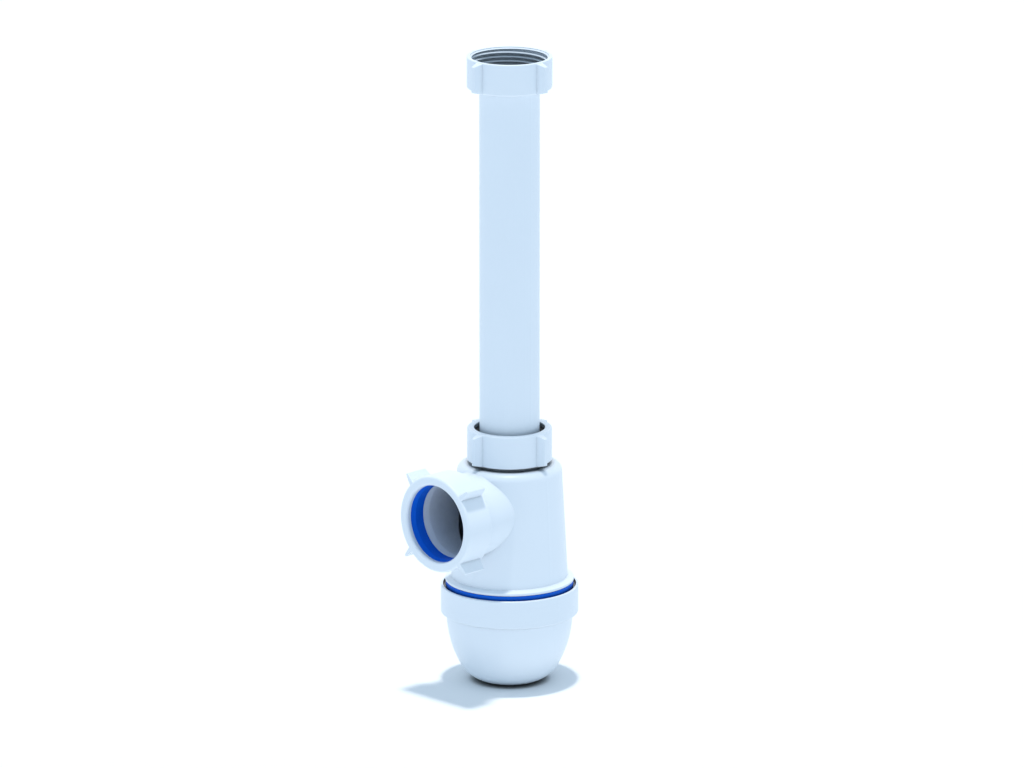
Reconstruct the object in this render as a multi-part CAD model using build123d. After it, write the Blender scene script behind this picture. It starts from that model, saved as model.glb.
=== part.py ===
from build123d import *
import os
from math import asin, cos, degrees, radians

# Bottle trap for a wash basin, in millimetres.
# Z points up, the side outlet points along -Y.
# The origin is the centre of the inlet nut's open mouth, where the basin waste screws in.

# Running clearances
SEAT_GAP = 0.15           # between flat faces that seat on each other
RUN_GAP = 0.3             # between round faces that slide or turn
THREAD_PLAY = 0.2         # radial play of a male thread's root inside the female crest

# Tail pipe and its flat washer
PIPE_OD = 32.0
PIPE_WALL = 1.8
PIPE_EXPOSED = 185.6      # from the inlet nut down to the neck nut
PIPE_INSERTION = 46.0     # below the top of the neck nut
PIPE_FLANGE = 2.0
WASHER_THICKNESS = 2.0
WASHER_SETBACK = 0.3      # bore of the washer outside that of the pipe

# Thread of the inlet and of the neck: 1 1/4 inch pipe thread, 41.91 mm on the 32 mm pipe
THREAD_OVER_PIPE = 9.91
THREAD_DEPTH = 1.48

# Nuts on the inlet and on the neck
NUT_WALL = 1.645          # outside the root of the thread
NUT_END_WALL = 2.4
NUT_EDGE_ROUND = 0.9
NUT_HOLE_ROUND = 0.45
INLET_NUT_HEIGHT = 16.9
INLET_HOLE_PLAY = 0.5     # inlet nut round the pipe
NECK_NUT_HEIGHT = 17.7
NECK_HOLE_PLAY = 2.85     # neck nut round the pipe
LUG_COUNT = 4
LUG_ROUND = 0.4
LUG_SETBACK = 0.35        # lugs start below the nut's rim
LUG_PROUD = 4.9
LUG_ROOT_WIDTH = 4.8
LUG_TIP_WIDTH = 1.9
LUG_RAMP = 1.3            # length over which each end of a lug runs out into the nut

# Cone gasket of the neck
NECK_GASKET_RIM = 3.0
NECK_GASKET_LIP = 0.5     # wall at the thin end of the cone
NECK_SEAT_WALL = 1.0      # wall of the neck at its mouth
NECK_SEAT_DEPTH = 7.0

# Body
SHOULDER_GAP = 1.95       # neck nut above the shoulder
SHOULDER_ROUND = 4.25
BODY_TAPER = 3.38         # radius lost from the flange up to the plane of the shoulder
BODY_HEIGHT = 64.65       # shoulder down to the underside of the flange
BODY_WALL = 2.2
FLANGE_SETBACK = 2.4      # flange inside the outline of the cup
FLANGE_WIDTH = 3.27       # flange outside the foot of the cone
FLANGE_EDGE = 1.4
FLANGE_RISE = 1.1         # slope of the flange's top, from its edge to the wall
FLANGE_ROUND = 0.4
SKIRT_LENGTH = 14.5
DIP_TUBE_WALL = 2.0
WATER_SEAL = 52.0         # dip tube below the lowest line of the outlet

# Side outlet for a 40 mm waste pipe
OUTLET_PIPE = 40.0
OUTLET_REACH = 56.3       # nut's front face from the trap's axis
BRANCH_WALL = 2.1
BRANCH_COVER = 0.85       # top of the branch below the shoulder
OUTLET_STOP_REACH = 29.5  # where the branch starts to narrow and stops the waste pipe, from the trap's axis
OUTLET_DRAFT = 1.0        # radius lost from there to the trap's axis
OUTLET_THREAD_DEPTH = 0.8
OUTLET_NUT_WALL = 2.7     # outside the root of the thread
OUTLET_NUT_LENGTH = 17.0
OUTLET_HOLE_PLAY = 0.9    # outlet nut round the waste pipe
OUTLET_NUT_END_WALL = 3.0
OUTLET_NUT_ROUND = 1.3
OUTLET_HOLE_ROUND = 1.6   # rounded lip of the outlet nut
OUTLET_LUG_PROUD = 6.1
OUTLET_LUG_ROOT_WIDTH = 3.4
OUTLET_LUG_TIP_WIDTH = 1.4
OUTLET_LUG_RAMP = 0.8
OUTLET_LUG_LENGTH = 15.1
OUTLET_LUG_ANGLE = 43.5
OUTLET_GASKET_RIM = 3.0
OUTLET_GASKET_LIP = 0.4
OUTLET_GASKET_FLARE = 0.85
OUTLET_SEAT_WALL = 0.6
OUTLET_SEAT_DEPTH = 10.0

# Cup and its ring gasket
CUP_RADIUS = 36.8
CUP_WALL = 2.2
CUP_COLLAR = 13.4         # ledge of the gasket down to the collar's lower edge
CUP_COLLAR_WALL = 3.6     # outside the root of the thread
CUP_THREAD_DEPTH = 1.2
CUP_RIM_WALL = 1.2
CUP_RIM_RISE = 1.8        # rim above the ledge
CUP_EDGE_ROUND = 0.5
BOWL_STEP = 3.0           # bowl inside the collar
BOWL_DEPTH = 38.0
BOWL_SIDE_ARC = 60.0
BOWL_FOOT_ARC = 18.0
CUP_GASKET_PLAY = 1.5     # ring inside the rim of the cup
CUP_GASKET_THICKNESS = 3.8

# Radii that follow from the sizes above
pipe_radius = PIPE_OD / 2
pipe_bore = pipe_radius - PIPE_WALL
nut_bore = (PIPE_OD + THREAD_OVER_PIPE) / 2
nut_crest = nut_bore - THREAD_DEPTH
nut_radius = nut_bore + NUT_WALL
neck_radius = nut_crest - THREAD_PLAY
neck_bore = pipe_radius + RUN_GAP
dip_radius = neck_bore + DIP_TUBE_WALL
outlet_bore = OUTLET_PIPE / 2 + RUN_GAP
branch_radius = outlet_bore + BRANCH_WALL
outlet_crest = branch_radius + THREAD_PLAY
outlet_nut_bore = outlet_crest + OUTLET_THREAD_DEPTH
outlet_nut_radius = outlet_nut_bore + OUTLET_NUT_WALL
cup_bore = CUP_RADIUS - CUP_COLLAR_WALL
skirt_radius = cup_bore - CUP_THREAD_DEPTH - THREAD_PLAY
rim_bore = CUP_RADIUS - CUP_RIM_WALL
bowl_radius = CUP_RADIUS - BOWL_STEP
flange_radius = CUP_RADIUS - FLANGE_SETBACK
body_foot_radius = flange_radius - FLANGE_WIDTH
body_top_radius = body_foot_radius - BODY_TAPER

# Heights, from the inlet mouth down
inlet_wall_top = NUT_END_WALL - INLET_NUT_HEIGHT
pipe_flange_top = inlet_wall_top + SEAT_GAP + PIPE_FLANGE
neck_nut_top = -INLET_NUT_HEIGHT - PIPE_EXPOSED
neck_gasket_top = neck_nut_top - NUT_END_WALL - SEAT_GAP
neck_mouth = neck_gasket_top - NECK_GASKET_RIM - SEAT_GAP
shoulder = neck_nut_top - NECK_NUT_HEIGHT - SHOULDER_GAP
outlet_axis = shoulder - BRANCH_COVER - branch_radius
flange_underside = shoulder - BODY_HEIGHT
dip_tube_foot = outlet_axis - outlet_bore - WATER_SEAL
cup_gasket_top = flange_underside - SEAT_GAP
cup_ledge = cup_gasket_top - CUP_GASKET_THICKNESS - SEAT_GAP
collar_foot = cup_ledge - CUP_COLLAR
cup_bottom = collar_foot - BOWL_DEPTH

# Distances along the outlet, from its nut's front face inwards
outlet_gasket_front = -OUTLET_NUT_END_WALL - SEAT_GAP
outlet_mouth = outlet_gasket_front - OUTLET_GASKET_RIM - SEAT_GAP


def revolved(face, rounds=()):
    """Turn a (radius, height) face about Z, with the named corners rounded first."""
    for corner, radius in rounds:
        face = fillet(face.vertices().sort_by_distance((*corner, 0))[0], radius)
    return Rot(X=90) * revolve(face, Axis.Y)


def turned(*corners):
    """Turn a closed outline of (radius, height) or (radius, height, rounding) corners about Z."""
    outline = Polyline(*[corner[:2] for corner in corners], close=True)
    rounds = [(corner[:2], corner[2]) for corner in corners if len(corner) == 3]
    return revolved(make_face(outline), rounds)


def disc(radius, bottom, top):
    """Solid cylinder about Z between two heights."""
    return Pos(Z=bottom) * Cylinder(radius, top - bottom, align=(Align.CENTER, Align.CENTER, Align.MIN))


def outward(shape):
    """Lay a shape along the outlet: its Z axis becomes the way out of the branch."""
    return Pos(0, -OUTLET_REACH, outlet_axis) * Rot(X=90) * shape


def union_nut(height, radius, bore, crest, land, hole, end_wall, edge_round, hole_round):
    """Nut with its end wall on top, at height 0, and its threaded mouth below.

    The thread runs out below a plain land, as high as what the nut presses on.
    """
    thread_end = -end_wall - land
    return turned(
        (hole, 0, hole_round),
        (radius, 0, edge_round),
        (radius, -height, edge_round / 2),
        (bore, -height),
        (bore, thread_end),
        (crest, thread_end),
        (crest, -end_wall),
        (hole, -end_wall),
    )


def grip_lugs(radius, bore, proud, root_width, tip_width, foot, top, ramp, first_angle):
    """Lugs round a nut, each a tapered bar whose ends run out into the nut."""
    root = (radius + bore) / 2
    tip = radius + proud
    section = make_face(
        Polyline(
            (root, -root_width / 2),
            (tip, -tip_width / 2),
            (tip, tip_width / 2),
            (root, root_width / 2),
            close=True,
        )
    )
    bar = Pos(Z=foot) * extrude(section, top - foot)
    side = make_face(
        Polyline(
            (root, 0, foot),
            (radius, 0, foot),
            (tip, 0, foot + ramp),
            (tip, 0, top - ramp),
            (radius, 0, top),
            (root, 0, top),
            close=True,
        )
    )
    lug = bar & extrude(side, root_width, both=True)
    lug = fillet(lug.edges().filter_by(lambda edge: edge.center().X > radius), LUG_ROUND)
    return [Rot(Z=first_angle + 360 / LUG_COUNT * step) * lug for step in range(LUG_COUNT)]


def cone_gasket(rim_radius, rim, bore, flare, mouth_radius, slope, lip):
    """Cone ring with its flat rim face at height 0; the cone below it wedges into a seat."""
    cone_top = -rim - SEAT_GAP
    cone_length = (mouth_radius - bore - lip) / slope
    return turned(
        (bore + flare, 0),
        (rim_radius, 0),
        (rim_radius, -rim),
        (mouth_radius, -rim),
        (mouth_radius, cone_top),
        (bore + lip, cone_top - cone_length),
        (bore, cone_top - cone_length),
        (bore, -rim),
    )


def seat(mouth_radius, bore, mouth, depth):
    """Cutter for the conical seat in the mouth of a tube that opens upwards."""
    return turned((0, mouth), (mouth_radius, mouth), (bore, mouth - depth), (0, mouth - depth))


def inlet_nut():
    """Nut that hangs on the pipe's flange, mouth up."""
    land = SEAT_GAP + PIPE_FLANGE + WASHER_THICKNESS
    ring = union_nut(INLET_NUT_HEIGHT, nut_radius, nut_bore, nut_crest, land,
                     pipe_radius + INLET_HOLE_PLAY, NUT_END_WALL, NUT_EDGE_ROUND, NUT_HOLE_ROUND)
    ring = Pos(Z=-INLET_NUT_HEIGHT) * Rot(X=180) * ring
    return ring + grip_lugs(nut_radius, nut_bore, LUG_PROUD, LUG_ROOT_WIDTH, LUG_TIP_WIDTH,
                            -INLET_NUT_HEIGHT, -LUG_SETBACK, LUG_RAMP, 0)


def inlet_gasket():
    """Flat washer that lies on the pipe's flange."""
    washer = disc(nut_crest - RUN_GAP, pipe_flange_top, pipe_flange_top + WASHER_THICKNESS)
    return washer - disc(pipe_bore + WASHER_SETBACK, pipe_flange_top, pipe_flange_top + WASHER_THICKNESS)


def tailpipe():
    """Straight pipe with a turned-out flange at its top end."""
    foot = neck_nut_top - PIPE_INSERTION
    return turned(
        (pipe_bore, pipe_flange_top, PIPE_WALL / 3),
        (nut_crest - RUN_GAP, pipe_flange_top),
        (nut_crest - RUN_GAP, pipe_flange_top - PIPE_FLANGE),
        (pipe_radius, pipe_flange_top - PIPE_FLANGE),
        (pipe_radius, foot, PIPE_WALL / 3),
        (pipe_bore, foot),
    )


def neck_nut():
    """Nut that squeezes the cone gasket on to the pipe."""
    ring = union_nut(NECK_NUT_HEIGHT, nut_radius, nut_bore, nut_crest, SEAT_GAP + NECK_GASKET_RIM,
                     pipe_radius + NECK_HOLE_PLAY, NUT_END_WALL, NUT_EDGE_ROUND, NUT_HOLE_ROUND)
    ring = ring + grip_lugs(nut_radius, nut_bore, LUG_PROUD, LUG_ROOT_WIDTH, LUG_TIP_WIDTH,
                            -NECK_NUT_HEIGHT, -LUG_SETBACK, LUG_RAMP, 0)
    return Pos(Z=neck_nut_top) * ring


def neck_seat_radius():
    """Radius of the neck's conical seat at its mouth."""
    return neck_radius - NECK_SEAT_WALL


def neck_cone_gasket():
    """Cone ring round the pipe, under the neck nut."""
    slope = (neck_seat_radius() - neck_bore) / NECK_SEAT_DEPTH
    ring = cone_gasket(nut_crest - RUN_GAP, NECK_GASKET_RIM, pipe_radius + RUN_GAP, 0,
                       neck_seat_radius() - RUN_GAP, slope, NECK_GASKET_LIP)
    return Pos(Z=neck_gasket_top) * ring


def outlet_seat_radius():
    """Radius of the branch's conical seat at its mouth."""
    return branch_radius - OUTLET_SEAT_WALL


def body_shell():
    """Neck, shoulder, cone, flange and skirt with the side branch, hollowed out."""
    flange_edge_top = flange_underside + FLANGE_EDGE
    flange_root = flange_edge_top + FLANGE_RISE
    outer = turned(
        (0, neck_mouth),
        (neck_radius, neck_mouth, NECK_SEAT_WALL / 3),
        (neck_radius, shoulder),
        (body_top_radius, shoulder, SHOULDER_ROUND),
        (body_foot_radius, flange_root, FLANGE_ROUND),
        (flange_radius, flange_edge_top, FLANGE_ROUND),
        (flange_radius, flange_underside, FLANGE_ROUND),
        (skirt_radius, flange_underside),
        (skirt_radius, flange_underside - SKIRT_LENGTH, BODY_WALL / 3),
        (0, flange_underside - SKIRT_LENGTH),
    )
    cavity = turned(
        (0, shoulder - BODY_WALL),
        (body_top_radius - BODY_WALL, shoulder - BODY_WALL, SHOULDER_ROUND - BODY_WALL),
        (body_foot_radius - BODY_WALL, flange_root),
        (skirt_radius - BODY_WALL, flange_underside - SKIRT_LENGTH),
        (0, flange_underside - SKIRT_LENGTH),
    )
    branch = outward(disc(branch_radius, -OUTLET_REACH, outlet_mouth))
    stop = OUTLET_STOP_REACH - OUTLET_REACH
    passage = outward(
        turned((0, -OUTLET_REACH), (outlet_bore - OUTLET_DRAFT, -OUTLET_REACH), (outlet_bore, stop), (0, stop))
        + disc(outlet_bore, stop, outlet_mouth)
        + seat(outlet_seat_radius(), outlet_bore, outlet_mouth, OUTLET_SEAT_DEPTH)
    )
    return outer + branch - cavity - passage


def trap_body():
    """The one-piece body: its shell, and the dip tube that hangs inside it from the neck."""
    dip_tube = disc(dip_radius, dip_tube_foot, shoulder - BODY_WALL / 2)
    pipe_way = disc(neck_bore, dip_tube_foot, neck_mouth)
    neck_seat = seat(neck_seat_radius(), neck_bore, neck_mouth, NECK_SEAT_DEPTH)
    return body_shell() + dip_tube - pipe_way - neck_seat


def outlet_nut():
    """Larger nut on the branch, with long lugs."""
    ring = union_nut(OUTLET_NUT_LENGTH, outlet_nut_radius, outlet_nut_bore, outlet_crest,
                     SEAT_GAP + OUTLET_GASKET_RIM, OUTLET_PIPE / 2 + OUTLET_HOLE_PLAY, OUTLET_NUT_END_WALL,
                     OUTLET_NUT_ROUND, OUTLET_HOLE_ROUND)
    top = -LUG_SETBACK
    lugs = grip_lugs(outlet_nut_radius, outlet_nut_bore, OUTLET_LUG_PROUD, OUTLET_LUG_ROOT_WIDTH,
                     OUTLET_LUG_TIP_WIDTH, top - OUTLET_LUG_LENGTH, top, OUTLET_LUG_RAMP, OUTLET_LUG_ANGLE)
    return outward(ring + lugs)


def outlet_cone_gasket():
    """Blue cone ring that seals the waste pipe in the branch."""
    slope = (outlet_seat_radius() - outlet_bore) / OUTLET_SEAT_DEPTH
    ring = cone_gasket(outlet_crest - RUN_GAP, OUTLET_GASKET_RIM, outlet_bore, OUTLET_GASKET_FLARE,
                       outlet_seat_radius() - RUN_GAP, slope, OUTLET_GASKET_LIP)
    return outward(Pos(Z=outlet_gasket_front) * ring)


def cup_gasket():
    """Blue ring on the cup's ledge, under the flange of the body."""
    bottom = cup_gasket_top - CUP_GASKET_THICKNESS
    ring = disc(rim_bore - CUP_GASKET_PLAY, bottom, cup_gasket_top)
    return ring - disc(skirt_radius + RUN_GAP, bottom, cup_gasket_top)


def cup():
    """Bowl with a threaded collar; two tangent arcs make its side and foot."""
    arc_gap = BOWL_SIDE_ARC - BOWL_FOOT_ARC
    split = degrees(asin((BOWL_DEPTH - BOWL_FOOT_ARC) / arc_gap))
    side_centre = (bowl_radius - BOWL_SIDE_ARC, collar_foot)
    foot_centre = (side_centre[0] + arc_gap * cos(radians(split)), cup_bottom + BOWL_FOOT_ARC)
    flat = foot_centre[0]
    thread_foot = collar_foot + CUP_EDGE_ROUND
    rim_top = cup_ledge + CUP_RIM_RISE
    bowl_bore = bowl_radius - CUP_WALL
    collar = Polyline(
        (bowl_radius, collar_foot),
        (CUP_RADIUS, collar_foot),
        (CUP_RADIUS, rim_top),
        (rim_bore, rim_top),
        (rim_bore, cup_ledge),
        (cup_bore, cup_ledge),
        (cup_bore, thread_foot),
        (bowl_bore, thread_foot),
        (bowl_bore, collar_foot),
    )
    outline = [
        Line((0, cup_bottom), (flat, cup_bottom)),
        CenterArc(foot_centre, BOWL_FOOT_ARC, -90, 90 - split),
        CenterArc(side_centre, BOWL_SIDE_ARC, -split, split),
        *collar.edges(),
        CenterArc(side_centre, BOWL_SIDE_ARC - CUP_WALL, 0, -split),
        CenterArc(foot_centre, BOWL_FOOT_ARC - CUP_WALL, -split, split - 90),
        Line((flat, cup_bottom + CUP_WALL), (0, cup_bottom + CUP_WALL)),
        Line((0, cup_bottom + CUP_WALL), (0, cup_bottom)),
    ]
    rounds = [
        ((CUP_RADIUS, collar_foot), CUP_EDGE_ROUND),
        ((CUP_RADIUS, rim_top), CUP_RIM_WALL * 0.4),
    ]
    return revolved(make_face(outline), rounds)


PIECES = (
    inlet_nut,
    inlet_gasket,
    tailpipe,
    neck_nut,
    neck_cone_gasket,
    trap_body,
    outlet_nut,
    outlet_cone_gasket,
    cup_gasket,
    cup,
)

os.makedirs("parts", exist_ok=True)
for piece in PIECES:
    export_step(piece(), f"parts/{piece.__name__}.step")
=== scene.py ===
"""Dress a basin bottle trap: white mouldings, seals, screw threads, a pale floor and light from above."""

import logging
from dataclasses import dataclass
from enum import Enum
from math import cos, pi, radians, sin, tau

import bmesh
import bpy
from mathutils import Matrix, Vector

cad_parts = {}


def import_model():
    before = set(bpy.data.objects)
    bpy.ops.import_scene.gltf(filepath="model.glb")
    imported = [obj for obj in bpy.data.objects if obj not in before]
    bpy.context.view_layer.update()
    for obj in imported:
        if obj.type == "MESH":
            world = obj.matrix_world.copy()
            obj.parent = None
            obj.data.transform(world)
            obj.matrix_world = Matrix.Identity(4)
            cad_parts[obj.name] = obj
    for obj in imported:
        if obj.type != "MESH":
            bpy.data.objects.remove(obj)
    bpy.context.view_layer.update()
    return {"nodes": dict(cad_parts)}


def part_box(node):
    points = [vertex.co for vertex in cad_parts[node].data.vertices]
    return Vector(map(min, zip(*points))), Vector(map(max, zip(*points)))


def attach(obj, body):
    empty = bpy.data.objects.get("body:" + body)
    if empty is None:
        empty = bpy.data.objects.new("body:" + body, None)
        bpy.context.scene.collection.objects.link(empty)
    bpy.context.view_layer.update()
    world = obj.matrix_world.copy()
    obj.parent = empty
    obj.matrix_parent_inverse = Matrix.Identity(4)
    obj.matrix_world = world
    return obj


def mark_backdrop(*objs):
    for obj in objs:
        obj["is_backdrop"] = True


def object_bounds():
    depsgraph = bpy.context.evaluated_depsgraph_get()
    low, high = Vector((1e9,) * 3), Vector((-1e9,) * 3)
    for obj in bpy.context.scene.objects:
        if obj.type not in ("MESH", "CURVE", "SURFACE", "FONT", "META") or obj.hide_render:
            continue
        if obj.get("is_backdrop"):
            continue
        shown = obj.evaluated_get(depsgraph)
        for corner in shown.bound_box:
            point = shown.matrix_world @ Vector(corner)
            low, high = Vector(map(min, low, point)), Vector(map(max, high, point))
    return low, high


log = logging.getLogger("basin_trap")

MM = 0.001
PIPE_PITCH = 2.309 * MM
CUP_PITCH = 3.0 * MM
SHARP_EDGE = radians(38)
# Heights of the open seams, where shade from the next piece is painted into the colour, and the half width of
# that painted band.
NECK_SEAM = -221.75 * MM  # between the neck nut and the shoulder
RIM_SEAM = -290.0 * MM  # between the blue ring and the rim of the cup
SEAM_BAND = 1.25 * MM  # to either side of such a seam
MIX_A, MIX_B, MIX_RESULT = 6, 7, 2  # colour sockets of a Mix node

Colour = tuple[float, float, float]


class Forming(Enum):
    """How a piece of plastic got its shape, which decides the marks in its skin."""

    MOULDED = "moulded"
    DRAWN = "drawn"


class Effect(Enum):
    """Shader node groups that the finishes share."""

    SKIN = "moulded_skin"
    DRAW_LINES = "draw_lines"
    # The two groups below paint shade into the colour of seams, grooves and hollows.
    CREVICE = "painted_crevice_shade"
    OWN_CREVICE = "own_painted_crevice_shade"


def new_group(effect: Effect, inputs: dict[str, str], outputs: dict[str, str]) -> bpy.types.NodeTree:
    """Start a shader node group with named sockets.

    Args:
        effect: The effect that the group makes.
        inputs: Socket type by input name.
        outputs: Socket type by output name.

    Returns:
        The group, with its input and output nodes in place.
    """
    group = bpy.data.node_groups.new(effect.value, "ShaderNodeTree")
    for name, kind in inputs.items():
        group.interface.new_socket(name, in_out="INPUT", socket_type=kind)
    for name, kind in outputs.items():
        group.interface.new_socket(name, in_out="OUTPUT", socket_type=kind)
    group.nodes.new("NodeGroupInput").name = "in"
    group.nodes.new("NodeGroupOutput").name = "out"
    return group


def noise(tree: bpy.types.NodeTree, vector: bpy.types.NodeSocket, scale: float,
          detail: float) -> bpy.types.NodeSocket:
    """Add a noise texture.

    Args:
        tree: Node tree that takes it.
        vector: Coordinates that it reads.
        scale: Cells per metre.
        detail: Octaves of finer noise.

    Returns:
        Its value socket.
    """
    node = tree.nodes.new("ShaderNodeTexNoise")
    node.inputs["Scale"].default_value = scale
    node.inputs["Detail"].default_value = detail
    tree.links.new(vector, node.inputs["Vector"])
    return node.outputs["Fac"]


def sum_of(tree: bpy.types.NodeTree, value: bpy.types.NodeSocket, gain: bpy.types.NodeSocket | float,
           base: bpy.types.NodeSocket | float) -> bpy.types.NodeSocket:
    """Add (value - 0.5) * gain to a base.

    Args:
        tree: Node tree that takes the nodes.
        value: Signal from 0 to 1.
        gain: Strength of the signal, as a socket or a number.
        base: What the signal is added to, as a socket or a number.

    Returns:
        The socket with the sum.
    """
    centred = tree.nodes.new("ShaderNodeMath")
    centred.operation = "SUBTRACT"
    centred.inputs[1].default_value = 0.5
    tree.links.new(value, centred.inputs[0])
    result = tree.nodes.new("ShaderNodeMath")
    result.operation = "MULTIPLY_ADD"
    tree.links.new(centred.outputs[0], result.inputs[0])
    for socket, source in ((result.inputs[1], gain), (result.inputs[2], base)):
        if isinstance(source, bpy.types.NodeSocket):
            tree.links.new(source, socket)
        else:
            socket.default_value = source
    return result.outputs[0]


def moulded_skin(drift_scale: float = 38.0, gloss_scale: float = 160.0, grain_scale: float = 2600.0,
                 sink_depth: float = 0.6) -> bpy.types.NodeTree:
    """Build the shared skin of a moulding: slow drift of tone and gloss, shallow sinks and a fine tool grain.

    Args:
        drift_scale: Cells per metre of the slow drift and of the sinks.
        gloss_scale: The same for the gloss.
        grain_scale: The same for the grain.
        sink_depth: Share of the sinks in the relief.

    Returns:
        The node group.
    """
    group = new_group(
        Effect.SKIN,
        {"Colour": "NodeSocketColor", "Tone Drift": "NodeSocketFloat", "Gloss": "NodeSocketFloat",
         "Gloss Drift": "NodeSocketFloat", "Grain": "NodeSocketFloat"},
        {"Colour": "NodeSocketColor", "Roughness": "NodeSocketFloat", "Height": "NodeSocketFloat"},
    )
    given, out = group.nodes["in"], group.nodes["out"]
    place = group.nodes.new("ShaderNodeTexCoord").outputs["Object"]
    drift = noise(group, place, drift_scale, detail=3.0)
    gloss = noise(group, place, gloss_scale, detail=4.0)
    grain = noise(group, place, grain_scale, detail=2.0)
    tone = group.nodes.new("ShaderNodeHueSaturation")
    group.links.new(given.outputs["Colour"], tone.inputs["Color"])
    group.links.new(sum_of(group, drift, given.outputs["Tone Drift"], 1.0), tone.inputs["Value"])
    group.links.new(tone.outputs["Color"], out.inputs["Colour"])
    rough = sum_of(group, gloss, given.outputs["Gloss Drift"], given.outputs["Gloss"])
    group.links.new(rough, out.inputs["Roughness"])
    sinks = sum_of(group, drift, sink_depth, 0.5)
    group.links.new(sum_of(group, grain, given.outputs["Grain"], sinks), out.inputs["Height"])
    return group


def draw_lines(scale: float = 900.0, squeeze: float = 0.004) -> bpy.types.NodeTree:
    """Build the faint lengthwise lines that a die leaves on a drawn pipe.

    Args:
        scale: Lines per metre.
        squeeze: How much slower the lines change along the pipe than across it.

    Returns:
        The node group.
    """
    group = new_group(
        Effect.DRAW_LINES,
        {"Height": "NodeSocketFloat", "Depth": "NodeSocketFloat"},
        {"Height": "NodeSocketFloat"},
    )
    given, out = group.nodes["in"], group.nodes["out"]
    place = group.nodes.new("ShaderNodeTexCoord").outputs["Object"]
    stretch = group.nodes.new("ShaderNodeMapping")
    stretch.inputs["Scale"].default_value = (1.0, 1.0, squeeze)
    group.links.new(place, stretch.inputs["Vector"])
    lines = noise(group, stretch.outputs["Vector"], scale, detail=3.0)
    height = sum_of(group, lines, given.outputs["Depth"], given.outputs["Height"])
    group.links.new(height, out.inputs["Height"])
    return group


@dataclass(frozen=True)
class Shelter:
    """How shut in a spot must be before shade is painted into its colour.

    Attributes:
        name: Input of the group that sets how strong the painted shade is.
        reach: How far the spot looks for walls round it.
        shut: Open share of its view at which the painted shade is darkest.
        clear: Open share from which no shade is painted at all.
    """

    name: str
    reach: float
    shut: float
    clear: float


SHELTERS = (Shelter("Fine", 4 * MM, 0.1, 0.8), Shelter("Deep", 45 * MM, 0.02, 0.42))


def painted_crevice_shade(effect: Effect, rays: int = 6) -> bpy.types.NodeTree:
    """Build the painted shade that darkens the colour of seams and grooves, and of the inside of the tubes.

    Args:
        effect: Which of the two painted shades; the own one leaves the pieces round about out of it.
        rays: Looks taken from each spot.

    Returns:
        The node group.
    """
    group = new_group(
        effect,
        {"Colour": "NodeSocketColor", "Fine": "NodeSocketFloat", "Deep": "NodeSocketFloat"},
        {"Colour": "NodeSocketColor"},
    )
    given, out = group.nodes["in"], group.nodes["out"]
    colour = given.outputs["Colour"]
    # Each shelter paints shade into the colour where the spot sees little open space.
    for shelter in SHELTERS:
        open_share = group.nodes.new("ShaderNodeAmbientOcclusion")
        open_share.samples = rays
        open_share.only_local = effect is Effect.OWN_CREVICE
        open_share.inputs["Distance"].default_value = shelter.reach
        clear = group.nodes.new("ShaderNodeMapRange")
        clear.interpolation_type = "SMOOTHSTEP"
        clear.inputs["From Min"].default_value = shelter.shut
        clear.inputs["From Max"].default_value = shelter.clear
        group.links.new(open_share.outputs["AO"], clear.inputs["Value"])
        shade = group.nodes.new("ShaderNodeMix")
        shade.data_type = "RGBA"
        shade.blend_type = "MULTIPLY"
        group.links.new(given.outputs[shelter.name], shade.inputs["Factor"])
        group.links.new(colour, shade.inputs[MIX_A])
        group.links.new(clear.outputs["Result"], shade.inputs[MIX_B])
        colour = shade.outputs[MIX_RESULT]
    group.links.new(colour, out.inputs["Colour"])
    return group


class Effects:
    """The shared node groups, built once."""

    def __init__(self) -> None:
        """Build each group."""
        self.groups: dict[Effect, bpy.types.NodeTree] = {
            Effect.SKIN: moulded_skin(),
            Effect.DRAW_LINES: draw_lines(),
            Effect.CREVICE: painted_crevice_shade(Effect.CREVICE),
            Effect.OWN_CREVICE: painted_crevice_shade(Effect.OWN_CREVICE),
        }

    def place(self, tree: bpy.types.NodeTree, effect: Effect, **values: float | Colour) -> bpy.types.Node:
        """Put a group into a material.

        Args:
            tree: The material's node tree.
            effect: Which group.
            **values: Input values; an underscore in a name stands for a space.

        Returns:
            The group node.
        """
        node = tree.nodes.new("ShaderNodeGroup")
        node.node_tree = self.groups[effect]
        for name, value in values.items():
            colour = isinstance(value, tuple)
            node.inputs[name.replace("_", " ")].default_value = (*value, 1.0) if colour else value
        return node


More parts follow.
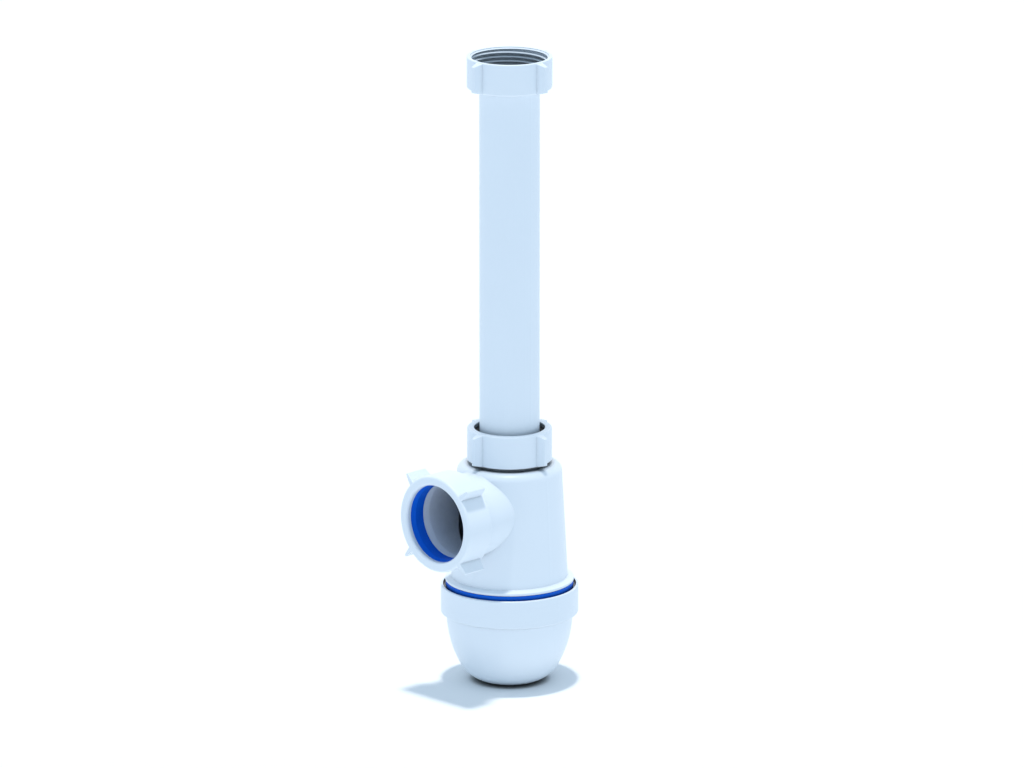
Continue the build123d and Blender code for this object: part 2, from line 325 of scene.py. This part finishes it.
@dataclass(frozen=True)
class Finish:
    """Surface of a moulded or drawn piece.

    Attributes:
        name: Name of the material.
        colour: Its colour, in linear light.
        gloss: Roughness of the skin.
        shine: Strength of the reflections.
        tone_drift: How far the tone wanders over the piece.
        gloss_drift: How far the roughness wanders.
        grain: Share of the fine tool grain in the relief.
        relief: Depth of the relief, in metres.
        seam: How much shade is painted into a seam or groove.
        inside: How much shade is painted into the inside of a tube.
        crevice: Which painted shade darkens it; the own one takes only the piece's own shape, as on what
            another piece slides or screws over.
        open_seam: Height of a seam where shade from the next piece is painted in too, if it has one that is
            seen.
        forming: How the piece was shaped.
    """

    name: str
    colour: Colour
    gloss: float = 0.34
    shine: float = 0.3
    tone_drift: float = 0.03
    gloss_drift: float = 0.1
    grain: float = 0.25
    relief: float = 0.05 * MM
    seam: float = 1.0
    inside: float = 0.6
    crevice: Effect = Effect.OWN_CREVICE
    open_seam: float | None = None
    forming: Forming = Forming.MOULDED

    def paint_seam_shade(self, effects: Effects, tree: bpy.types.NodeTree,
                   colour: bpy.types.NodeSocket) -> bpy.types.NodeSocket:
        """Paint shade into a narrow band at the open seam, where the next piece stands close.

        Args:
            effects: Shared node groups.
            tree: The material's node tree.
            colour: The colour so far.

        Returns:
            The colour with the painted seam shade in it.
        """
        place = tree.nodes.new("ShaderNodeTexCoord")
        height = tree.nodes.new("ShaderNodeSeparateXYZ")
        near = tree.nodes.new("ShaderNodeMath")
        near.operation = "COMPARE"
        near.inputs[1].default_value = self.open_seam
        near.inputs[2].default_value = SEAM_BAND
        shade = effects.place(tree, Effect.CREVICE, Deep=0.0)
        tree.links.new(place.outputs["Object"], height.inputs["Vector"])
        tree.links.new(height.outputs["Z"], near.inputs[0])
        tree.links.new(near.outputs["Value"], shade.inputs["Fine"])
        tree.links.new(colour, shade.inputs["Colour"])
        return shade.outputs["Colour"]

    def material(self, effects: Effects) -> bpy.types.Material:
        """Make the finish.

        Args:
            effects: Shared node groups.

        Returns:
            The material.
        """
        made, tree, shader = new_material(self.name)
        skin = effects.place(tree, Effect.SKIN, Colour=self.colour, Tone_Drift=self.tone_drift,
                             Gloss=self.gloss, Gloss_Drift=self.gloss_drift, Grain=self.grain)
        # Shade of seams, grooves and tube insides is painted into the base colour here.
        shade = effects.place(tree, self.crevice, Fine=self.seam, Deep=self.inside)
        height = skin.outputs["Height"]
        if self.forming is Forming.DRAWN:
            lines = effects.place(tree, Effect.DRAW_LINES, Depth=0.5)
            tree.links.new(height, lines.inputs["Height"])
            height = lines.outputs["Height"]
        tree.links.new(skin.outputs["Colour"], shade.inputs["Colour"])
        colour = shade.outputs["Colour"]
        if self.open_seam is not None:
            colour = self.paint_seam_shade(effects, tree, colour)
        tree.links.new(colour, shader.inputs["Base Color"])
        tree.links.new(skin.outputs["Roughness"], shader.inputs["Roughness"])
        shader.inputs["Specular IOR Level"].default_value = self.shine
        bump = tree.nodes.new("ShaderNodeBump")
        bump.inputs["Distance"].default_value = self.relief
        tree.links.new(height, bump.inputs["Height"])
        tree.links.new(bump.outputs["Normal"], shader.inputs["Normal"])
        return made


WHITE: Colour = (0.80, 0.86, 0.92)
# NUT_WHITE and SEAL_BLUE take painted shade from the pieces round about; the others paint only the shade of
# their own shape, and BODY_WHITE and CUP_WHITE add a painted shade band at their open seam.
NUT_WHITE = Finish("nut_white", WHITE, gloss=0.36, inside=0.3, crevice=Effect.CREVICE)
BODY_WHITE = Finish("body_white", WHITE, gloss=0.32, inside=0.88, open_seam=NECK_SEAM)
CUP_WHITE = Finish("cup_white", WHITE, gloss=0.32, open_seam=RIM_SEAM)
PIPE_WHITE = Finish("pipe_white", WHITE, shine=0.15, forming=Forming.DRAWN)
SEAL_BLUE = Finish("seal_blue", (0.0022, 0.13, 0.74), gloss=0.5, shine=0.15, tone_drift=0.2,
                   gloss_drift=0.2, grain=0.8, seam=0.8, inside=0.4, crevice=Effect.CREVICE)
SEAL_BLACK = Finish("seal_black", (0.02, 0.022, 0.026), gloss=0.6, shine=0.2, tone_drift=0.3,
                    gloss_drift=0.2, grain=0.8)


def new_material(name: str) -> tuple[bpy.types.Material, bpy.types.NodeTree, bpy.types.Node]:
    """Start a material with nodes.

    Args:
        name: Its name.

    Returns:
        The material, its node tree and its main shader.
    """
    made = bpy.data.materials.new(name)
    made.use_nodes = True
    return made, made.node_tree, made.node_tree.nodes["Principled BSDF"]


@dataclass(frozen=True)
class ScrewThread:
    """One right-handed screw ridge on a round wall about Z.

    Attributes:
        root: Radius of the wall that carries the ridge.
        crest: Radius of the ridge's top; inside the root for a nut, outside it for a spigot.
        pitch: Rise of one turn.
        low: Height of the ridge's lower end.
        high: Height of its upper end.
        crest_height: A height at which the crest crosses the side that faces +X.
        steps_per_turn: Facets of one turn.
        run_out: Turn over which each end fades into the wall.
        thinnest: Share of the ridge's height that is left at its very ends.
        section: Outline of the ridge: place along the pitch, and share of the ridge's height.
    """

    root: float
    crest: float
    pitch: float
    low: float
    high: float
    crest_height: float
    steps_per_turn: int = 120
    run_out: float = radians(50)
    thinnest: float = 0.02
    section: tuple[tuple[float, float], ...] = (
        (-0.42, -0.1), (-0.15, 0.82), (-0.08, 1.0), (0.08, 1.0), (0.15, 0.82), (0.42, -0.1))

    def cut(self, mesh: bmesh.types.BMesh) -> None:
        """Add the ridge to a mesh; each end runs out into the wall.

        Args:
            mesh: Mesh under construction.
        """
        first = tau * (self.low - self.crest_height) / self.pitch
        last = tau * (self.high - self.crest_height) / self.pitch
        steps = round((last - first) / tau * self.steps_per_turn)
        rings = []
        for step in range(steps + 1):
            angle = first + (last - first) * step / steps
            fade = min(1.0, (angle - first) / self.run_out, (last - angle) / self.run_out)
            ring = []
            for along, share in self.section:
                reach = max(fade, self.thinnest) * share if share > 0 else share
                radius = self.root + (self.crest - self.root) * reach
                height = self.crest_height + self.pitch * (angle / tau + along)
                ring.append(mesh.verts.new((radius * cos(angle), radius * sin(angle), height)))
            rings.append(ring)
        join_rings(mesh, rings, closed=False)
        mesh.faces.new(rings[0])
        mesh.faces.new(reversed(rings[-1]))

    def piece(self, name: str, place: Matrix | None = None) -> bpy.types.Object:
        """Make the ridge a piece of its own.

        Args:
            name: Name of the piece.
            place: Where its axes lie in the frame.

        Returns:
            The piece.
        """
        mesh = bmesh.new()
        self.cut(mesh)
        return finished_piece(name, mesh, place)


def join_rings(mesh: bmesh.types.BMesh, rings: list[list[bmesh.types.BMVert]], closed: bool) -> None:
    """Skin a row of equal rings of points.

    Args:
        mesh: Mesh under construction.
        rings: Rings in order, each a closed loop.
        closed: Whether the last ring joins the first.
    """
    count = len(rings)
    for index in range(count if closed else count - 1):
        ring, after = rings[index], rings[(index + 1) % count]
        for corner in range(len(ring)):
            across = (corner + 1) % len(ring)
            mesh.faces.new((ring[corner], after[corner], after[across], ring[across]))


def turned_ring(mesh: bmesh.types.BMesh, outline: list[tuple[float, float]], steps: int = 160) -> None:
    """Add a ring turned about Z.

    Args:
        mesh: Mesh under construction.
        outline: Closed outline of (radius, height) points.
        steps: Facets round the axis.
    """
    rings = []
    for step in range(steps):
        angle = tau * step / steps
        rings.append([mesh.verts.new((radius * cos(angle), radius * sin(angle), height))
                      for radius, height in outline])
    join_rings(mesh, rings, closed=True)


def finished_piece(name: str, mesh: bmesh.types.BMesh, place: Matrix | None = None) -> bpy.types.Object:
    """Turn a mesh under construction into an object of the scene.

    Args:
        name: Name of the piece.
        mesh: Its mesh, which is freed.
        place: Where the piece's own axes lie in the frame.

    Returns:
        The object.
    """
    if place is not None:
        mesh.transform(place)
    bmesh.ops.recalc_face_normals(mesh, faces=mesh.faces)
    data = bpy.data.meshes.new(name)
    mesh.to_mesh(data)
    mesh.free()
    data.polygons.foreach_set("use_smooth", [True] * len(data.polygons))
    data.set_sharp_from_angle(angle=SHARP_EDGE)
    piece = bpy.data.objects.new(name, data)
    bpy.context.scene.collection.objects.link(piece)
    return piece


class SubAssembly:
    """Pieces of the trap that go together."""

    def __init__(self, nodes: dict[str, bpy.types.Object]) -> None:
        """Keep the CAD nodes at hand.

        Args:
            nodes: CAD node by name.
        """
        self.nodes = nodes

    def dress(self, node: str, material: bpy.types.Material) -> None:
        """Give a CAD node its finish.

        Args:
            node: Name of the node.
            material: Its finish.
        """
        data = self.nodes[node].data
        data.materials.clear()
        data.materials.append(material)
        log.info("dressed %s in %s", node, material.name)

    def add_thread(self, piece: bpy.types.Object, body: str, material: bpy.types.Material) -> None:
        """Let a new thread ride on a body in its finish.

        Args:
            piece: The new thread.
            body: CAD body that carries it.
            material: Its finish.
        """
        piece.data.materials.append(material)
        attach(piece, body)
        log.info("built %s on %s", piece.name, body)


@dataclass
class InletUnion:
    """Nut with the open mouth, the washer in it and the tail pipe that hangs in it.

    Attributes:
        bore: Radius at the root of the thread.
        crest: Radius at its crest.
        lip: Inner radius of the lip at the mouth.
        lip_drop: How far below the mouth the lip lies.
        lip_flank: Half the lip's width where it leaves the bore.
        lip_edge: Share of that width at its inner edge.
        lip_sink: How far the lip reaches into the wall.
        thread_top: Height of the thread's upper end.
        thread_foot: Height of its lower end.
        far_side: Turn from +X to the wall across from the camera, which is the one seen in the mouth.
        first_crest: Height of the first crest on that wall.
    """

    bore: float = 20.955 * MM
    crest: float = 19.475 * MM
    lip: float = 20.1 * MM
    lip_drop: float = 0.9 * MM
    lip_flank: float = 0.65 * MM
    lip_edge: float = 0.1
    lip_sink: float = 0.1 * MM
    thread_top: float = -2.3 * MM
    thread_foot: float = -9.3 * MM
    far_side: float = radians(135)
    first_crest: float = -2.9 * MM

    def thread(self) -> bpy.types.Object:
        """Build the nut's thread and the narrow lip at its mouth.

        Returns:
            The piece.
        """
        mesh = bmesh.new()
        at_x = self.first_crest - PIPE_PITCH * self.far_side / tau
        ScrewThread(self.bore, self.crest, PIPE_PITCH, self.thread_foot, self.thread_top, at_x).cut(mesh)
        wall = self.bore + self.lip_sink
        edge = self.lip_edge * self.lip_flank
        turned_ring(mesh, [
            (wall, self.lip_flank - self.lip_drop),
            (self.lip, edge - self.lip_drop),
            (self.lip, -edge - self.lip_drop),
            (wall, -self.lip_flank - self.lip_drop),
        ])
        return finished_piece("inlet_nut_thread", mesh)

    def build(self, trap: SubAssembly, nut: bpy.types.Material, pipe: bpy.types.Material,
              seal: bpy.types.Material) -> None:
        """Dress the nodes and add the thread.

        Args:
            trap: The trap's pieces.
            nut: Finish of the nut.
            pipe: Finish of the pipe.
            seal: Finish of the washer.
        """
        trap.dress("inlet_nut", nut)
        trap.dress("tailpipe", pipe)
        trap.dress("inlet_gasket", seal)
        trap.add_thread(self.thread(), "inlet_nut", nut)


@dataclass
class SpigotUnion:
    """A nut on a threaded spigot of the body, with the cone gasket that it presses.

    Attributes:
        nut: CAD node and body of the nut.
        gasket: CAD node of the gasket.
        spigot_thread: Name of the spigot's thread.
        bore: Radius at the root of the nut's thread.
        crest: Radius at its crest.
        spigot_root: Radius at the root of the spigot's thread.
        spigot_crest: Radius at its crest.
        nut_land: Length of the nut's mouth without a thread.
        spigot_setback: How far the end of the spigot lies below the nut's mouth.
        end_gap: Length without a thread at either end of a thread.
        spigot_foot: The same at the foot of the spigot.
    """

    nut: str
    gasket: str
    spigot_thread: str
    bore: float
    crest: float
    spigot_root: float
    spigot_crest: float
    nut_land: float
    spigot_setback: float
    end_gap: float
    spigot_foot: float

    def span(self) -> tuple[float, float, Matrix]:
        """Find where the nut lies along its own axis.

        Returns:
            Its foot, its mouth, and where that axis lies in the frame.
        """
        raise NotImplementedError

    def build(self, trap: SubAssembly, nut: bpy.types.Material, body: bpy.types.Material,
              seal: bpy.types.Material) -> None:
        """Dress the nodes and add both threads, half a pitch apart, so that they mesh.

        Args:
            trap: The trap's pieces.
            nut: Finish of the nut.
            body: Finish of the body that carries the spigot.
            seal: Finish of the gasket.
        """
        trap.dress(self.nut, nut)
        trap.dress(self.gasket, seal)
        foot, mouth, place = self.span()
        inner = ScrewThread(self.bore, self.crest, PIPE_PITCH, foot + self.end_gap,
                            mouth - self.nut_land - self.end_gap, foot)
        outer = ScrewThread(self.spigot_root, self.spigot_crest, PIPE_PITCH, foot + self.spigot_foot,
                            mouth - self.spigot_setback - self.end_gap, foot + PIPE_PITCH / 2)
        trap.add_thread(inner.piece(f"{self.nut}_thread", place), self.nut, nut)
        trap.add_thread(outer.piece(self.spigot_thread, place), "trap_body", body)


@dataclass
class NeckUnion(SpigotUnion):
    """Nut on the neck of the body, with the cone gasket that grips the pipe."""

    nut: str = "neck_nut"
    gasket: str = "neck_cone_gasket"
    spigot_thread: str = "neck_spigot_thread"
    bore: float = 20.955 * MM
    crest: float = 19.475 * MM
    spigot_root: float = 19.275 * MM
    spigot_crest: float = 20.755 * MM
    nut_land: float = 5.55 * MM
    spigot_setback: float = 5.7 * MM
    end_gap: float = 1.2 * MM
    spigot_foot: float = 0.6 * MM

    def span(self) -> tuple[float, float, Matrix]:
        """Find where the nut lies along Z.

        Returns:
            Its foot, its mouth, and the frame's own axes.
        """
        low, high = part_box(self.nut)
        return low.z, high.z, Matrix.Identity(4)


@dataclass
class OutletUnion(SpigotUnion):
    """Nut on the side branch, with the blue cone gasket that shows in its mouth."""

    nut: str = "outlet_nut"
    gasket: str = "outlet_cone_gasket"
    spigot_thread: str = "branch_thread"
    bore: float = 23.4 * MM
    crest: float = 22.6 * MM
    spigot_root: float = 22.4 * MM
    spigot_crest: float = 23.2 * MM
    nut_land: float = 6.15 * MM
    spigot_setback: float = 6.3 * MM
    end_gap: float = 1.0 * MM
    spigot_foot: float = 1.0 * MM

    def span(self) -> tuple[float, float, Matrix]:
        """Find where the nut lies along the branch, which points to -Y.

        Returns:
            Its foot, its mouth, and the axes of the branch, with their origin at the mouth.
        """
        low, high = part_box(self.nut)
        mouth = Vector((0.0, low.y, (low.z + high.z) / 2))
        return low.y - high.y, 0.0, Matrix.Translation(mouth) @ Matrix.Rotation(pi / 2, 4, "X")


@dataclass
class Bottle:
    """Body of the trap, the cup that screws on under it and the blue ring between them.

    The skirt's thread is low, so that the ring passes over it on its way down with the cup.

    Attributes:
        bore: Radius at the root of the cup's thread.
        crest: Radius at its crest.
        skirt_root: Radius at the root of the skirt's thread.
        skirt_crest: Radius at its crest.
        bore_top: How far below the rim the cup's bore begins.
        bore_length: Length of that bore.
        skirt_foot: How far below the rim the skirt ends.
        end_gap: Length without a thread at either end of a thread.
    """

    bore: float = 33.2 * MM
    crest: float = 31.85 * MM
    skirt_root: float = 31.8 * MM
    skirt_crest: float = 32.03 * MM
    bore_top: float = 1.8 * MM
    bore_length: float = 12.9 * MM
    skirt_foot: float = 12.2 * MM
    end_gap: float = 1.4 * MM

    def build(self, trap: SubAssembly, body: bpy.types.Material, cup: bpy.types.Material,
              seal: bpy.types.Material) -> None:
        """Dress the nodes and add both threads, half a pitch apart, so that they mesh.

        Args:
            trap: The trap's pieces.
            body: Finish of the body.
            cup: Finish of the cup.
            seal: Finish of the ring.
        """
        trap.dress("trap_body", body)
        trap.dress("cup", cup)
        trap.dress("cup_gasket", seal)
        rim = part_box("cup")[1].z
        top = rim - self.bore_top
        foot = top - self.bore_length
        inner = ScrewThread(self.bore, self.crest, CUP_PITCH, foot + self.end_gap, top - self.end_gap, foot)
        skirt_low = rim - self.skirt_foot + self.end_gap
        outer = ScrewThread(self.skirt_root, self.skirt_crest, CUP_PITCH, skirt_low,
                            top - self.end_gap, foot + CUP_PITCH / 2)
        trap.add_thread(inner.piece("cup_thread"), "cup", cup)
        trap.add_thread(outer.piece("skirt_thread"), "trap_body", body)


@dataclass
class Studio:
    """Floor, light and camera.

    Attributes:
        floor_size: Length of the floor's sides, in metres.
        floor_colour: Colour of the floor, in linear light.
        floor_gloss: Roughness of the floor.
        floor_seam: How much duller the floor is close under the cup.
        floor_near: How much duller it is round about.
        sky_colour: Light from all sides.
        lamp_strength: Strength of the lamp.
        lamp_colour: Its colour.
        lamp_angle: How wide it looks from the object, which softens the shadow's edge.
        azimuth: Turn of the camera from -Y towards +X.
        elevation: Its height above the horizon.
        distance: How far it stands from what it looks at, in metres.
        aim: What it looks at.
        lens: Focal length, in millimetres.
        sensor: Width of the sensor, in millimetres.
        shift: Sideways shift of the lens, in widths of the picture.
        view_limit: How far the camera sees, in metres.
    """

    floor_size: float = 16.0
    floor_colour: Colour = (0.92, 0.92, 0.92)
    floor_gloss: float = 0.9
    # floor_seam: Strength of the shadow painted onto the floor close under the cup.
    floor_seam: float = 0.8
    # floor_near: Strength of the shade painted onto it round about.
    floor_near: float = 0.4
    sky_colour: Colour = (0.52, 0.67, 0.82)
    lamp_strength: float = 1.8
    lamp_colour: Colour = (1.0, 0.96, 0.92)
    lamp_angle: float = radians(5.0)
    azimuth: float = radians(45.0)
    elevation: float = radians(15.2)
    distance: float = 5.0
    aim: Vector = Vector((0.0, 0.0, -0.1791))
    lens: float = 330.65
    sensor: float = 36.0
    shift: float = 0.0024
    view_limit: float = 100.0

    def floor(self, level: float, effects: Effects) -> None:
        """Lay the floor under the cup and let it go along; seen from below it lets the view through.

        Args:
            level: Its height.
            effects: Shared node groups.
        """
        mesh = bmesh.new()
        bmesh.ops.create_grid(mesh, x_segments=1, y_segments=1, size=self.floor_size / 2)
        plane = finished_piece("floor", mesh, Matrix.Translation((0.0, 0.0, level)))
        made, tree, shader = new_material("pale_floor")
        # The floor's colour takes painted shade close under and round the cup, on top of the lamp's real
        # shadow.
        shade = effects.place(tree, Effect.CREVICE, Colour=self.floor_colour, Fine=self.floor_seam,
                              Deep=self.floor_near)
        tree.links.new(shade.outputs["Colour"], shader.inputs["Base Color"])
        shader.inputs["Roughness"].default_value = self.floor_gloss
        shader.inputs["Specular IOR Level"].default_value = 0.0
        clear = tree.nodes.new("ShaderNodeBsdfTransparent")
        side = tree.nodes.new("ShaderNodeNewGeometry")
        either = tree.nodes.new("ShaderNodeMixShader")
        tree.links.new(side.outputs["Backfacing"], either.inputs[0])
        tree.links.new(shader.outputs[0], either.inputs[1])
        tree.links.new(clear.outputs[0], either.inputs[2])
        tree.links.new(either.outputs[0], tree.nodes["Material Output"].inputs["Surface"])
        plane.data.materials.append(made)
        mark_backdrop(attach(plane, "cup"))

    def light(self) -> None:
        """Hang the lamp straight overhead, under a soft cool sky; the view itself sees white."""
        lamp = bpy.data.lights.new("overhead_lamp", "SUN")
        lamp.energy = self.lamp_strength
        lamp.color = self.lamp_colour
        lamp.angle = self.lamp_angle
        bpy.context.scene.collection.objects.link(bpy.data.objects.new("overhead_lamp", lamp))
        sky = bpy.data.worlds.new("soft_sky")
        bpy.context.scene.world = sky
        sky.use_nodes = True
        tree = sky.node_tree
        glow = tree.nodes["Background"]
        glow.inputs["Color"].default_value = (*self.sky_colour, 1.0)
        white = tree.nodes.new("ShaderNodeBackground")
        white.inputs["Color"].default_value = (1.0, 1.0, 1.0, 1.0)
        path = tree.nodes.new("ShaderNodeLightPath")
        seen = path.outputs["Is Camera Ray"]
        for kind in ("Is Glossy Ray", "Is Transmission Ray"):
            either = tree.nodes.new("ShaderNodeMath")
            either.operation = "MAXIMUM"
            tree.links.new(seen, either.inputs[0])
            tree.links.new(path.outputs[kind], either.inputs[1])
            seen = either.outputs[0]
        mix = tree.nodes.new("ShaderNodeMixShader")
        tree.links.new(seen, mix.inputs[0])
        tree.links.new(glow.outputs[0], mix.inputs[1])
        tree.links.new(white.outputs[0], mix.inputs[2])
        tree.links.new(mix.outputs[0], tree.nodes["World Output"].inputs["Surface"])

    def camera(self) -> None:
        """Set the camera where the photograph was taken from."""
        data = bpy.data.cameras.new("camera")
        data.sensor_width = self.sensor
        data.lens = self.lens
        data.shift_x = self.shift
        data.clip_end = self.view_limit
        camera = bpy.data.objects.new("camera", data)
        back = Vector((
            sin(self.azimuth) * cos(self.elevation),
            -cos(self.azimuth) * cos(self.elevation),
            sin(self.elevation),
        ))
        camera.location = self.aim + back * self.distance
        camera.rotation_euler = back.to_track_quat("Z", "Y").to_euler()
        bpy.context.scene.collection.objects.link(camera)
        bpy.context.scene.camera = camera

    def build(self, effects: Effects) -> None:
        """Set the stage under the object.

        Args:
            effects: Shared node groups.
        """
        self.floor(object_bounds()[0].z, effects)
        self.light()
        self.camera()
        bpy.context.scene.view_settings.view_transform = "Standard"
        log.info("set floor, light and camera")


def main() -> None:
    """Build the trap's sub-assemblies in order, then the stage."""
    logging.basicConfig(level=logging.INFO, format="%(name)s: %(message)s")
    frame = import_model()
    effects = Effects()
    nut, body, cup, pipe, blue, black = (
        finish.material(effects)
        for finish in (NUT_WHITE, BODY_WHITE, CUP_WHITE, PIPE_WHITE, SEAL_BLUE, SEAL_BLACK))
    trap = SubAssembly(frame["nodes"])
    InletUnion().build(trap, nut, pipe, black)
    NeckUnion().build(trap, nut, body, black)
    OutletUnion().build(trap, nut, body, blue)
    Bottle().build(trap, body, cup, blue)
    Studio().build(effects)


if __name__ == "__main__":
    main()
